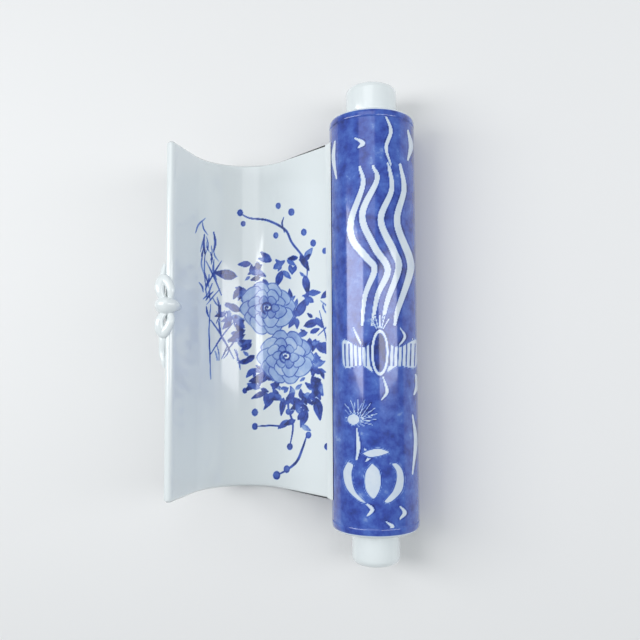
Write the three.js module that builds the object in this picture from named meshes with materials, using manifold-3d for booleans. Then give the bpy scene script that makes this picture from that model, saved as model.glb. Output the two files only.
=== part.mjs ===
// A porcelain scroll-form brush rest: a handscroll left half unrolled, lying on its back on a desk.
// Millimetres, +Z up. The roll runs along Y. The origin is on the desk, under the middle of the piece.
import * as THREE from "three";
import { mergeVertices } from "three/addons/utils/BufferGeometryUtils.js";
import Module from "manifold-3d";

const wasm = await Module();
wasm.setup();

// Driving dimensions
const ROLL_RADIUS = 25;
const ROLL_LENGTH = 238;
const ROLL_WALL = 4.5;
const END_THICKNESS = 6;
const SHOULDER_RADIUS = 3.4;
const VENT_RADIUS = 1.6;
const SHEET_HEIGHT = 208;
const SHEET_RISE = 1.5; // the sheet sits this far towards the upper end of the roll
const SHEET_THICKNESS = 5.5;
const TROUGH_RADIUS = 30; // of the painted, inner face
const TROUGH_CENTRE = { x: -78.5, z: -9.5 }; // measured from the roll's axis
const LIP_LENGTH = 30; // straight part between the trough and the free edge
const LIP_ANGLE = THREE.MathUtils.degToRad(196);
const RAMP_ANGLE = THREE.MathUtils.degToRad(316);
const REST_FLAT_DEPTH = 0.4; // ground away along the two lines that touch the desk
const LUTING_GAP = 0.3;
const ROUND_STEPS = 56;
const KNOB_STEPS = 36;

const glaze = new THREE.MeshStandardMaterial({ color: 0xe9eef0, roughness: 0.16, metalness: 0 });
const cobalt = new THREE.MeshStandardMaterial({ color: 0x3554a8, roughness: 0.16, metalness: 0 });

// The belly of the trough and the roll both touch the desk, so the whole scroll leans by this much.
const spanX = -TROUGH_CENTRE.x;
const spanZ = -TROUGH_CENTRE.z;
const span = Math.hypot(spanX, spanZ);
const bellyRadius = TROUGH_RADIUS + SHEET_THICKNESS;
const LEAN = Math.atan2(spanZ, spanX) + Math.asin((bellyRadius - ROLL_RADIUS) / span);

function solidFrom(geometry) {
  const bare = new THREE.BufferGeometry();
  const source = geometry.index ? geometry.toNonIndexed() : geometry;
  bare.setAttribute("position", source.getAttribute("position").clone());
  const merged = mergeVertices(bare, 1e-4);
  const vertProperties = merged.attributes.position.array;
  const triVerts = new Uint32Array(merged.index.array);
  return new wasm.Manifold(new wasm.Mesh({ numProp: 3, vertProperties, triVerts }));
}

function geometryFrom(solid) {
  const mesh = solid.getMesh();
  const geometry = new THREE.BufferGeometry();
  geometry.setAttribute("position", new THREE.BufferAttribute(new Float32Array(mesh.vertProperties), 3));
  geometry.setIndex(new THREE.BufferAttribute(new Uint32Array(mesh.triVerts), 1));
  const faceted = geometry.toNonIndexed();
  faceted.computeVertexNormals();
  return faceted;
}

function lathed(profile, steps = ROUND_STEPS) {
  return new THREE.LatheGeometry(profile.map(([r, y]) => new THREE.Vector2(r, y)), steps);
}

// Directions along the sheet's section. The section is drawn in X and Z, then stood along Y.
const along = (angle) => ({ x: Math.cos(angle), z: Math.sin(angle) });

function troughPoint(angle, radius) {
  const d = along(angle);
  return { x: TROUGH_CENTRE.x + radius * d.x, z: TROUGH_CENTRE.z + radius * d.z };
}

// The slab's section between two distances from the trough's centre: lip, trough, then the ramp to the roll.
function sheetSection(inner, outer, lipLength, rampLength) {
  const lipWay = along(LIP_ANGLE - Math.PI / 2);
  const rampWay = along(RAMP_ANGLE + Math.PI / 2);
  const lipIn = troughPoint(LIP_ANGLE, inner);
  const lipOut = troughPoint(LIP_ANGLE, outer);
  const rampIn = troughPoint(RAMP_ANGLE, inner);
  const rampOut = troughPoint(RAMP_ANGLE, outer);
  const round = Math.min(2, (outer - inner) / 2.6);
  const shape = new THREE.Shape();
  const at = (p, way, d) => [p.x + way.x * d, p.z + way.z * d];
  shape.moveTo(...at(lipOut, lipWay, lipLength - round));
  shape.absarc(TROUGH_CENTRE.x, TROUGH_CENTRE.z, outer, LIP_ANGLE, RAMP_ANGLE, false);
  shape.lineTo(...at(rampOut, rampWay, rampLength));
  shape.lineTo(...at(rampIn, rampWay, rampLength));
  shape.absarc(TROUGH_CENTRE.x, TROUGH_CENTRE.z, inner, RAMP_ANGLE, LIP_ANGLE, true);
  shape.lineTo(...at(lipIn, lipWay, lipLength - round));
  const tipIn = at(lipIn, lipWay, lipLength);
  const tipOut = at(lipOut, lipWay, lipLength);
  const middle = [(tipIn[0] + tipOut[0]) / 2, (tipIn[1] + tipOut[1]) / 2];
  shape.quadraticCurveTo(...tipIn, ...middle);
  shape.quadraticCurveTo(...tipOut, ...at(lipOut, lipWay, lipLength - round));
  return shape;
}

function stoodAlongY(shape, length, middle, curveSegments = 32) {
  const geometry = new THREE.ExtrudeGeometry(shape, { depth: length, bevelEnabled: false, curveSegments });
  geometry.rotateX(Math.PI / 2);
  geometry.translate(0, middle + length / 2, 0);
  return geometry;
}

function rollCore(radius, length) {
  return solidFrom(lathed([[0, -length / 2], [radius, -length / 2], [radius, length / 2], [0, length / 2]]));
}

// Everything below the desk, in the scroll's own leaning frame.
function belowDesk() {
  const deep = 60;
  const box = new THREE.BoxGeometry(400, 400, deep);
  box.translate(0, 0, -deep / 2 - (ROLL_RADIUS - REST_FLAT_DEPTH));
  box.rotateY(-LEAN);
  return solidFrom(box);
}

const desk = belowDesk();
const RAMP_LENGTH = 60; // long enough to run into the roll, which trims it

function sheet() {
  const section = sheetSection(TROUGH_RADIUS, bellyRadius, LIP_LENGTH, RAMP_LENGTH);
  const slab = solidFrom(stoodAlongY(section, SHEET_HEIGHT, SHEET_RISE));
  const roll = rollCore(ROLL_RADIUS + LUTING_GAP, ROLL_LENGTH + 20);
  const beyondRoll = solidFrom(new THREE.BoxGeometry(100, 400, 200).translate(50, 0, 0));
  return slab.subtract(roll).subtract(beyondRoll).subtract(desk);
}

function rollTube() {
  const half = ROLL_LENGTH / 2 - END_THICKNESS;
  const inside = ROLL_RADIUS - ROLL_WALL;
  const wall = [[inside, -half], [ROLL_RADIUS, -half], [ROLL_RADIUS, half], [inside, half], [inside, -half]];
  return solidFrom(lathed(wall)).subtract(desk);
}

// A disc that closes the tube, with a spigot inside the tube and a rounded white shoulder outside.
function rollEnd() {
  const spigot = ROLL_RADIUS - ROLL_WALL - LUTING_GAP;
  const profile = [[0, -3], [spigot, -3], [spigot, LUTING_GAP], [ROLL_RADIUS, LUTING_GAP]];
  const arcSteps = 6;
  for (let i = 0; i <= arcSteps; i++) {
    const turn = (i / arcSteps) * (Math.PI / 2);
    const r = ROLL_RADIUS - SHOULDER_RADIUS + SHOULDER_RADIUS * Math.cos(turn);
    profile.push([r, END_THICKNESS - SHOULDER_RADIUS + SHOULDER_RADIUS * Math.sin(turn)]);
  }
  profile.push([0, END_THICKNESS]);
  return lathed(profile);
}

// The end of the scroll's rod: a waisted neck, a swollen rim and a low dome.
function knobProfile(neck, rim, height) {
  const base = LUTING_GAP;
  const profile = [[0, base], [neck + 1.2, base], [neck + 0.3, base + 1.5], [neck, base + 3.5]];
  const rimHeight = height * 0.52;
  profile.push([neck + (rim - neck) * 0.35, rimHeight * 0.62], [neck + (rim - neck) * 0.8, rimHeight * 0.85]);
  const domeSteps = 9;
  for (let i = 0; i < domeSteps; i++) {
    const turn = (i / domeSteps) * (Math.PI / 2);
    const r = rim * Math.pow(Math.cos(turn), 0.75);
    profile.push([r, rimHeight + (height - rimHeight) * Math.sin(turn)]);
  }
  profile.push([0, height]);
  return profile;
}

function vented(geometry, from, to) {
  const bore = new THREE.CylinderGeometry(VENT_RADIUS, VENT_RADIUS, to - from, 20);
  bore.translate(0, (from + to) / 2, 0);
  return solidFrom(geometry).subtract(solidFrom(bore));
}

// A slip fillet that fills the corner between the sheet and the roll, on the painted face or on the back.
function lutingFillet(onBack) {
  const leg = onBack ? 5 : 3.6;
  const rampWay = along(RAMP_ANGLE + Math.PI / 2);
  const side = onBack ? 1 : -1;
  const distance = onBack ? bellyRadius + LUTING_GAP : TROUGH_RADIUS - LUTING_GAP;
  const start = troughPoint(RAMP_ANGLE, distance);
  // Where this face of the ramp meets the roll's skin.
  const b = start.x * rampWay.x + start.z * rampWay.z;
  const c = start.x ** 2 + start.z ** 2 - (ROLL_RADIUS + LUTING_GAP) ** 2;
  const reach = -b - Math.sqrt(b * b - c);
  const corner = { x: start.x + rampWay.x * reach, z: start.z + rampWay.z * reach };
  const cornerAngle = Math.atan2(corner.z, corner.x);
  const skin = (turn) => {
    const a = cornerAngle - side * turn * -1;
    return [(ROLL_RADIUS + LUTING_GAP) * Math.cos(a), (ROLL_RADIUS + LUTING_GAP) * Math.sin(a)];
  };
  const legTurn = leg / ROLL_RADIUS;
  const steps = 4;
  const shape = new THREE.Shape();
  shape.moveTo(corner.x - rampWay.x * leg, corner.z - rampWay.z * leg);
  shape.lineTo(corner.x, corner.z);
  for (let i = 1; i <= steps; i++) {
    shape.lineTo(...skin((legTurn * i) / steps));
  }
  const pull = 0.62;
  const end = skin(legTurn);
  const mid = [(corner.x - rampWay.x * leg + end[0]) / 2, (corner.z - rampWay.z * leg + end[1]) / 2];
  const control = [mid[0] + (corner.x - mid[0]) * pull, mid[1] + (corner.z - mid[1]) * pull];
  shape.quadraticCurveTo(...control, corner.x - rampWay.x * leg, corner.z - rampWay.z * leg);
  return solidFrom(stoodAlongY(shape, SHEET_HEIGHT - 1, SHEET_RISE, 6)).subtract(desk);
}

// The tie lies on the outside of the lip, in the lip's own directions: s up the lip, w out of its face.
const lipUp = along(LIP_ANGLE - Math.PI / 2);
const lipOutward = along(LIP_ANGLE);
const lipFoot = troughPoint(LIP_ANGLE, bellyRadius);
const TIE_CENTRE_Y = 8.5;

function onLip(s, y, w) {
  const x = lipFoot.x + lipUp.x * s + lipOutward.x * w;
  const z = lipFoot.z + lipUp.z * s + lipOutward.z * w;
  return new THREE.Vector3(x, y, z);
}

// A puffed ribbon: a flat oval section swept through stations of [s, y, w, half width, half thickness].
function ribbon(stations, sides = 12, steps = 18) {
  const path = new THREE.CatmullRomCurve3(stations.map(([s, y, w]) => onLip(s, y, w)));
  const outward = new THREE.Vector3(lipOutward.x, 0, lipOutward.z);
  const value = (t, k) => {
    const f = t * (stations.length - 1);
    const i = Math.min(stations.length - 2, Math.floor(f));
    const u = f - i;
    const ease = u * u * (3 - 2 * u);
    return stations[i][k] * (1 - ease) + stations[i + 1][k] * ease;
  };
  const positions = [];
  const indices = [];
  for (let i = 0; i <= steps; i++) {
    const t = i / steps;
    const centre = path.getPoint(t);
    const tangent = path.getTangent(t);
    const across = new THREE.Vector3().crossVectors(tangent, outward).normalize();
    const up = new THREE.Vector3().crossVectors(across, tangent).normalize();
    for (let j = 0; j < sides; j++) {
      const a = (j / sides) * Math.PI * 2;
      const p = centre.clone();
      p.addScaledVector(across, Math.cos(a) * value(t, 3));
      p.addScaledVector(up, Math.sin(a) * value(t, 4));
      positions.push(p.x, p.y, p.z);
    }
  }
  const ring = (i, j) => i * sides + (j % sides);
  for (let i = 0; i < steps; i++) {
    for (let j = 0; j < sides; j++) {
      indices.push(ring(i, j), ring(i, j + 1), ring(i + 1, j));
      indices.push(ring(i, j + 1), ring(i + 1, j + 1), ring(i + 1, j));
    }
  }
  for (let j = 1; j < sides - 1; j++) {
    indices.push(ring(0, 0), ring(0, j + 1), ring(0, j));
    indices.push(ring(steps, 0), ring(steps, j), ring(steps, j + 1));
  }
  const geometry = new THREE.BufferGeometry();
  geometry.setAttribute("position", new THREE.Float32BufferAttribute(positions, 3));
  geometry.setIndex(indices);
  const solid = solidFrom(geometry);
  return solid.volume() < 0 ? solidFrom(reversed(geometry)) : solid;
}

function reversed(geometry) {
  const index = Array.from(geometry.index.array);
  for (let i = 0; i < index.length; i += 3) {
    [index[i + 1], index[i + 2]] = [index[i + 2], index[i + 1]];
  }
  const turned = geometry.clone();
  turned.setIndex(index);
  return turned;
}

// The sheet with the luting gap round it, which trims the back of each tie piece.
const sheetTool = solidFrom(
  stoodAlongY(
    sheetSection(TROUGH_RADIUS - LUTING_GAP, bellyRadius + LUTING_GAP, LIP_LENGTH + LUTING_GAP, RAMP_LENGTH),
    SHEET_HEIGHT + 4,
    SHEET_RISE,
  ),
);

const yAt = (dy) => TIE_CENTRE_Y + dy;
const knot = ribbon([
  [33.5, yAt(-1), -3.4, 2.6, 1.0],
  [32.0, yAt(-0.5), 0.6, 5.0, 2.4],
  [24, yAt(0), 3.2, 5.4, 3.4],
  [17, yAt(0.3), 2.4, 4.8, 2.6],
  [13.5, yAt(0.5), 0.4, 2.4, 1.2],
]).subtract(sheetTool);
const gapped = (solid, others) => others.reduce((kept, other) => kept.subtract(other), solid);

// A slightly fatter copy of a tie piece, for trimming the pieces that lie against it.
function fattened(solid, by) {
  const box = solid.boundingBox();
  const centre = [0, 1, 2].map((k) => (box.min[k] + box.max[k]) / 2);
  const grow = [0, 1, 2].map((k) => 1 + (2 * by) / (box.max[k] - box.min[k]));
  const back = centre.map((c) => -c);
  return solid.translate(back).scale(grow).translate(centre);
}

const knotTool = fattened(knot, 0.5);
const loopUpper = gapped(
  ribbon([
    [24, yAt(4), 1.8, 2.4, 1.6],
    [25, yAt(8), 3.0, 5.2, 2.9],
    [26, yAt(12), 2.2, 6.0, 2.6],
    [26, yAt(15.5), 0.6, 4.0, 1.4],
  ]).subtract(sheetTool),
  [knotTool],
);
const loopLower = gapped(
  ribbon([
    [24, yAt(-4), 1.8, 2.4, 1.6],
    [25, yAt(-8), 3.0, 5.0, 2.8],
    [26, yAt(-12), 2.0, 5.6, 2.4],
    [26, yAt(-15.5), 0.5, 3.8, 1.2],
  ]).subtract(sheetTool),
  [knotTool],
);
const loopTools = [fattened(loopUpper, 0.5), fattened(loopLower, 0.5), knotTool];
const tailUpper = gapped(
  ribbon([
    [19, yAt(5), 0.6, 2.2, 1.4],
    [20, yAt(12), 1.0, 2.8, 1.6],
    [26, yAt(20), 0.9, 3.2, 1.6],
    [27, yAt(26), 0.3, 2.0, 0.9],
  ]).subtract(sheetTool),
  loopTools,
);
const tailLower = gapped(
  ribbon([
    [19, yAt(-5), 0.6, 2.2, 1.4],
    [19, yAt(-13), 1.0, 2.8, 1.6],
    [25, yAt(-24), 0.9, 3.2, 1.6],
    [27, yAt(-34), 0.3, 2.2, 0.9],
  ]).subtract(sheetTool),
  loopTools,
);

const largest = (solid) => solid.decompose().sort((a, b) => b.volume() - a.volume())[0];

function named(name, geometry, material) {
  const mesh = new THREE.Mesh(geometry, material);
  mesh.name = name;
  return mesh;
}

// The scroll in its own frame, with the roll's axis on Y, then leant over until it touches the desk.
const scroll = new THREE.Group();
scroll.rotation.y = LEAN;

scroll.add(named("scroll_sheet", geometryFrom(sheet()), glaze));
scroll.add(named("roll_tube", geometryFrom(rollTube()), cobalt));
scroll.add(named("luting_fillet_front", geometryFrom(lutingFillet(false)), glaze));
scroll.add(named("luting_fillet_back", geometryFrom(lutingFillet(true)), glaze));

const endSeat = ROLL_LENGTH / 2 - END_THICKNESS;
const endUpper = rollEnd().translate(0, endSeat, 0);
scroll.add(named("roll_end_upper", geometryFrom(solidFrom(endUpper).subtract(desk)), glaze));
const ventedEnd = vented(rollEnd(), -10, 20).rotate([180, 0, 0]).translate([0, -endSeat, 0]);
scroll.add(named("roll_end_lower", geometryFrom(ventedEnd.subtract(desk)), glaze));

const knobUpper = named("knob_upper", lathed(knobProfile(14.1, 15.0, 20.5), KNOB_STEPS), glaze);
knobUpper.position.y = ROLL_LENGTH / 2;
scroll.add(knobUpper);
const lowerKnob = vented(lathed(knobProfile(12.6, 13.3, 20), KNOB_STEPS), -5, 30);
const knobLower = named("knob_lower", geometryFrom(lowerKnob), glaze);
knobLower.rotation.x = Math.PI;
knobLower.position.y = -ROLL_LENGTH / 2;
scroll.add(knobLower);

scroll.add(named("tie_knot", geometryFrom(largest(knot)), glaze));
scroll.add(named("tie_loop_upper", geometryFrom(largest(loopUpper)), glaze));
scroll.add(named("tie_loop_lower", geometryFrom(largest(loopLower)), glaze));
scroll.add(named("tie_tail_upper", geometryFrom(largest(tailUpper)), glaze));
scroll.add(named("tie_tail_lower", geometryFrom(largest(tailLower)), glaze));

const brushRest = new THREE.Group();
brushRest.add(scroll);

// The origin goes to the middle of the footprint, at the height of the desk.
brushRest.updateMatrixWorld(true);
const extent = new THREE.Box3().setFromObject(brushRest, true);
const middle = extent.getCenter(new THREE.Vector3());
scroll.position.set(-middle.x, -middle.y, -extent.min.z);

export default brushRest;
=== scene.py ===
"""Dresses a porcelain scroll-form brush rest in its glaze, cobalt painting and moulded tie."""

import math

import bpy
import numpy as np
from mathutils import Matrix, Vector


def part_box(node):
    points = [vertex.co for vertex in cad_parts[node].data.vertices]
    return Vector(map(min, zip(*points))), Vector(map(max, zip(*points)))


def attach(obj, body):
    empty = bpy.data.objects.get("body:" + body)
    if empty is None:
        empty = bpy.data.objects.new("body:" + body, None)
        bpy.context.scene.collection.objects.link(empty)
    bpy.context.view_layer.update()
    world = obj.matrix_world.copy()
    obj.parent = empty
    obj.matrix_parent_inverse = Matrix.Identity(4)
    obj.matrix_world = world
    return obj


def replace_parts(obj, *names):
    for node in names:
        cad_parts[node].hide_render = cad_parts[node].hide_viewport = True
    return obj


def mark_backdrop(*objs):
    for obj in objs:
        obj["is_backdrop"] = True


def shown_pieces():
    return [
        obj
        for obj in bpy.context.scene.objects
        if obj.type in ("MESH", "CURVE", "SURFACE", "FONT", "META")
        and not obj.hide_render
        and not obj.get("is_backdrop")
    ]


bl_info = {
    "name": "Porcelain Scroll Rest",
    "version": (1, 0, 0),
    "blender": (4, 5, 0),
    "location": "View3D > Sidebar > Scroll Rest",
    "description": "Builds a glazed scroll-form brush rest with underglaze blue painting",
    "category": "Add Mesh",
}

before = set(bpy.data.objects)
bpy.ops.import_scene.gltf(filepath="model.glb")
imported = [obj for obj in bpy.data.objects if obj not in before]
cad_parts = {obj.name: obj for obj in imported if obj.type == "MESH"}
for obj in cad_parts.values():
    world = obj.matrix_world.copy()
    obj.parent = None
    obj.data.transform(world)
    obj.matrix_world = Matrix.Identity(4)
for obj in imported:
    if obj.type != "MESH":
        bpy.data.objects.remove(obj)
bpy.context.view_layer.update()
BODY = "root"
MM = 0.001

# The construction's own sizes, in millimetres, as the solids have them
ROLL_RADIUS = 25.0
ROLL_LENGTH = 238.0
TUBE_HALF = 113.0  # half the tube's length, between the two end discs
ROLL_SHOULDER = 3.4
SHEET_THICKNESS = 5.5
TROUGH_RADIUS = 30.0
TROUGH_X, TROUGH_Z = -78.5, -9.5
LIP_LENGTH = 30.0
LIP_ANGLE = math.radians(196)
RAMP_ANGLE = math.radians(316)
RAMP_TOP = 47.5  # the ramp's inner face runs this far, into the roll's side
RAMP_BACK = 43.0  # and its outer face this far
LIP_WAY = np.array([math.sin(LIP_ANGLE), -math.cos(LIP_ANGLE)])
LIP_OUT = np.array([math.cos(LIP_ANGLE), math.sin(LIP_ANGLE)])
RAMP_WAY = np.array([-math.sin(RAMP_ANGLE), math.cos(RAMP_ANGLE)])
BELLY_RADIUS = TROUGH_RADIUS + SHEET_THICKNESS
LEAN = math.atan2(-TROUGH_Z, -TROUGH_X) + math.asin(
    (BELLY_RADIUS - ROLL_RADIUS) / math.hypot(TROUGH_X, TROUGH_Z)
)


def roll_axis():
    """The roll's axis in the row frame, in millimetres: its x and z, and the y of its middle."""
    low, high = (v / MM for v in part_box("roll_tube"))
    return (low.x + high.x) / 2, (low.y + high.y) / 2, high.z - ROLL_RADIUS


AXIS_X, MIDDLE_Y, AXIS_Z = roll_axis()
SHEET_LOW, SHEET_HIGH = (v.y / MM - MIDDLE_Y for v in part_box("scroll_sheet"))


def to_row(points):
    """Points of the scroll's own frame, in millimetres, leant onto the desk, cut by it and put in metres."""
    p = np.asarray(points, float).reshape(-1, 3)
    c, s = math.cos(LEAN), math.sin(LEAN)
    x = p[:, 0] * c + p[:, 2] * s + AXIS_X
    z = np.maximum(-p[:, 0] * s + p[:, 2] * c + AXIS_Z, 0)
    return np.stack([x, p[:, 1] + MIDDLE_Y, z], 1) * MM


def turned_to_row(vector):
    """A direction of the scroll's own frame in the row frame."""
    c, s = math.cos(LEAN), math.sin(LEAN)
    return Vector((vector[0] * c + vector[2] * s, vector[1], -vector[0] * s + vector[2] * c))


# The eye that the painting is drawn for, in the scroll's own frame: a reading distance above the trough
EYE = np.array([-26.8, -23.4, 378.4])
EYE_PITCH = math.radians(3.65)
EYE_YAW = math.radians(-0.68)
EYE_ROLL = math.radians(0.34)
LENS_MM = 36.4
SENSOR_MM = 36.0
PLANE_DISTANCE = 416.6  # the design's millimetres are measured on a plane this far from the eye
DESIGN_A, DESIGN_B = 46.4, 6.0  # where the middle of the view falls on the design


def eye_axes():
    """The eye's right, up and back directions in the scroll's own frame."""
    turned_x = np.array([math.cos(EYE_YAW), 0, math.sin(EYE_YAW)])
    turned_z = np.array([-math.sin(EYE_YAW), 0, math.cos(EYE_YAW)])
    upright = np.array([0, 1, 0]) * math.cos(EYE_PITCH) + turned_z * math.sin(EYE_PITCH)
    back = np.array([0, -1, 0]) * math.sin(EYE_PITCH) + turned_z * math.cos(EYE_PITCH)
    right = turned_x * math.cos(EYE_ROLL) - upright * math.sin(EYE_ROLL)
    up = turned_x * math.sin(EYE_ROLL) + upright * math.cos(EYE_ROLL)
    return right, up, back


def seen(points):
    """Where points of the scroll's own frame fall on the design plane, in millimetres across and up."""
    right, up, back = eye_axes()
    away = np.asarray(points, float) - EYE
    depth = -(away @ back)
    return away @ right / depth * PLANE_DISTANCE + DESIGN_A, away @ up / depth * PLANE_DISTANCE + DESIGN_B


# The painting is laid on a fine grid, which becomes a mesh that is fine only where the tone changes
def smooth_curve(points, per_span=10):
    """A Catmull-Rom curve through the points, any number of columns."""
    p = np.asarray(points, float)
    if len(p) < 3:
        t = np.linspace(0, 1, per_span)[:, None]
        return p[0] * (1 - t) + p[-1] * t
    q = np.vstack([2 * p[0] - p[1], p, 2 * p[-1] - p[-2]])
    out = []
    for i in range(len(p) - 1):
        p0, p1, p2, p3 = q[i : i + 4]
        t = np.linspace(0, 1, per_span, endpoint=False)[:, None]
        square = 2 * p0 - 5 * p1 + 4 * p2 - p3
        cube = 3 * p1 - p0 - 3 * p2 + p3
        out.append(0.5 * (2 * p1 + (p2 - p0) * t + square * t**2 + cube * t**3))
    out.append(p[-1:])
    return np.vstack(out)


TAPER_END = 0.35  # share of the full width at a tapered stroke's ends
TAPER_START = 0.12  # radians of the sine that widens it, left out at each end
TINY = 1e-9
FAR = 1e9


def steps_of(line, a, b):
    """For each segment of a line, how far along it a and b fall, and their distance from it."""
    for start, stop in zip(line[:-1], line[1:]):
        across, up = (stop - start)[:2]
        share = np.clip(((a - start[0]) * across + (b - start[1]) * up) / (across**2 + up**2 + TINY), 0, 1)
        yield start, stop, share, np.hypot(a - start[0] - share * across, b - start[1] - share * up)


def eased(edge, soft):
    """A soft-edged mask from a signed distance to the edge."""
    alpha = np.clip(edge / soft + 0.5, 0, 1)
    return alpha * alpha * (3 - 2 * alpha)


class Canvas:
    """Cobalt strength on a grid whose nodes carry design coordinates a and b, in millimetres."""

    def __init__(self, a, b, ground=0.0):
        self.a, self.b = a, b
        self.tone = np.full(a.shape, float(ground))

    def window(self, line, reach):
        """The block of the grid within reach of a line, or None where the line misses the grid."""
        low_a, low_b = line[:, :2].min(0) - reach
        high_a, high_b = line[:, :2].max(0) + reach
        inside = (self.a > low_a) & (self.a < high_a) & (self.b > low_b) & (self.b < high_b)
        rows = np.flatnonzero(inside.any(1))
        columns = np.flatnonzero(inside.any(0))
        if not len(rows) or not len(columns):
            return None
        return slice(rows[0], rows[-1] + 1), slice(columns[0], columns[-1] + 1)

    def lay(self, where, alpha, tone, cover):
        """Mixes a tone in, over what is there or only where it is darker."""
        old = self.tone[where]
        mixed = old * (1 - alpha) + tone * alpha
        self.tone[where] = mixed if cover else np.maximum(old, mixed)

    def stroke(self, points, width, tone, soft=0.28, cover=False, taper=True):
        """A brush stroke through points of (a, b), pointed at both ends when it tapers."""
        p = np.asarray(points, float)
        share = np.ones(len(p))
        if taper:
            turn = np.linspace(TAPER_START, math.pi - TAPER_START, len(p))
            share = TAPER_END + (1 - TAPER_END) * np.sin(turn)
        line = smooth_curve(np.column_stack([p, share]))
        where = self.window(line, width + soft + 0.5)
        if where is None:
            return
        best = np.full(self.a[where].shape, -FAR)
        for start, stop, along, distance in steps_of(line, self.a[where], self.b[where]):
            half_width = (start[2] + (stop[2] - start[2]) * along) * width / 2
            best = np.maximum(best, half_width - distance)
        self.lay(where, eased(best, soft), tone, cover)

    def fill(self, outline, tone, soft=0.3, rim=None, rim_width=0.7):
        """A wash inside a closed smooth outline, with an optional darker rim where the cobalt pools."""
        line = smooth_curve(np.vstack([outline, outline[:1]]), 8)
        where = self.window(line, soft + 1.0)
        if where is None:
            return
        a, b = self.a[where], self.b[where]
        inside = np.zeros(a.shape, bool)
        nearest = np.full(a.shape, FAR)
        for start, stop, along, distance in steps_of(line, a, b):
            crosses = (start[1] > b) != (stop[1] > b)
            rise = stop[1] - start[1]
            slope = (stop[0] - start[0]) / (rise if abs(rise) > TINY else TINY)
            inside ^= crosses & (a < start[0] + (b - start[1]) * slope)
            nearest = np.minimum(nearest, distance)
        signed = np.where(inside, nearest, -nearest)
        value = np.full(a.shape, float(tone))
        if rim is not None:
            edge = np.clip(1 - np.abs(nearest - rim_width / 2) / (rim_width / 2), 0, 1)
            value = np.where(signed > 0, tone + (rim - tone) * edge, tone)
        self.lay(where, eased(signed, soft), value, cover=True)


CELL_LEVELS = 2  # cells are merged by twos, this many times
MERGE_BELOW = 0.035  # where the tone changes by less than this


def canvas_mesh(tone):
    """Corners and faces of a grid that wraps along its columns, merged where the tone is even."""
    rows, columns = tone.shape
    cells_r, cells_c = rows - 1, columns - 1
    level = np.zeros((cells_r, cells_c), int)
    for k in range(1, CELL_LEVELS + 1):
        size = 2**k
        r, c = cells_r // size, cells_c // size
        high = np.full((r, c), -1e9)
        low = np.full((r, c), 1e9)
        for i in range(size + 1):
            for j in range(size + 1):
                part = tone[i : i + (r - 1) * size + 1 : size, j : j + (c - 1) * size + 1 : size]
                high = np.maximum(high, part)
                low = np.minimum(low, part)
        flat = (high - low) < MERGE_BELOW
        below = level.reshape(r, size, c, size).min((1, 3)) == k - 1
        merged = np.kron(flat & below, np.ones((size, size), bool))
        level[merged] = k
    used = np.zeros((rows, columns), bool)
    cells = []
    for k in range(CELL_LEVELS + 1):
        size = 2**k
        at = np.argwhere(level == k)
        at = at[(at[:, 0] % size == 0) & (at[:, 1] % size == 0)]
        for di in (0, size):
            for dj in (0, size):
                used[at[:, 0] + di, at[:, 1] + dj] = True
        cells.append((size, at))
    seam = used[:, 0] | used[:, -1]
    used[:, 0] = used[:, -1] = seam
    number = -np.ones((rows, columns), int)
    body = used.copy()
    body[:, -1] = False
    number[body] = np.arange(body.sum())
    number[:, -1] = number[:, 0]
    faces = []
    for size, at in cells:
        for i, j in at:
            if size == 1:
                faces.append((number[i, j], number[i, j + 1], number[i + 1, j + 1], number[i + 1, j]))
                continue
            south = number[i, j : j + size][used[i, j : j + size]]
            east = number[i : i + size, j + size][used[i : i + size, j + size]]
            north = number[i + size, j + size : j : -1][used[i + size, j + size : j : -1]]
            west = number[i + size : i : -1, j][used[i + size : i : -1, j]]
            faces.append(tuple(np.concatenate([south, east, north, west])))
    where = np.argwhere(body)
    return where, faces, number, used


def mesh_object(name, points, faces, tone, normals=None):
    """A smooth-shaded object from points in the scroll's frame, with its cobalt strength as an attribute."""
    mesh = bpy.data.meshes.new(name)
    mesh.from_pydata([tuple(p) for p in to_row(points)], [], [tuple(map(int, f)) for f in faces])
    mesh.polygons.foreach_set("use_smooth", [True] * len(mesh.polygons))
    attribute = mesh.attributes.new("cobalt", "FLOAT", "POINT")
    attribute.data.foreach_set("value", np.asarray(tone, np.float32))
    if normals is not None:
        mesh.normals_split_custom_set_from_vertices([turned_to_row(n) for n in normals])
    piece = bpy.data.objects.new(name, mesh)
    bpy.context.scene.collection.objects.link(piece)
    return piece


def grid_normals(grid):
    """Unit normals of a grid of points that wraps along its columns."""
    wrapped = np.concatenate([grid[:, -2:-1], grid, grid[:, 1:2]], 1)
    across = wrapped[:, 2:] - wrapped[:, :-2]
    along = np.gradient(grid, axis=0)
    n = np.cross(across, along)
    return n / (np.linalg.norm(n, axis=2, keepdims=True) + TINY**2)


def sleeve(name, grid, tone):
    """A closed piece from a grid of points that wraps along its columns, capped at both ends."""
    x, z = grid[len(grid) // 2, :, 0], grid[len(grid) // 2, :, 2]
    area = np.sum(x[:-1] * z[1:] - x[1:] * z[:-1])
    if area > 0:
        grid, tone = grid[:, ::-1], tone[:, ::-1]
    where, faces, number, used = canvas_mesh(tone)
    rows, columns = where[:, 0], where[:, 1]
    normals = grid_normals(grid)
    low = number[0, :-1][used[0, :-1]]
    high = number[-1, :-1][used[-1, :-1]]
    faces.append(tuple(low[::-1]))
    faces.append(tuple(high))
    return mesh_object(name, grid[rows, columns], faces, tone[rows, columns], normals[rows, columns])


EDGE_ROUND = 1.6
EDGE_ROWS = 4


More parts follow.
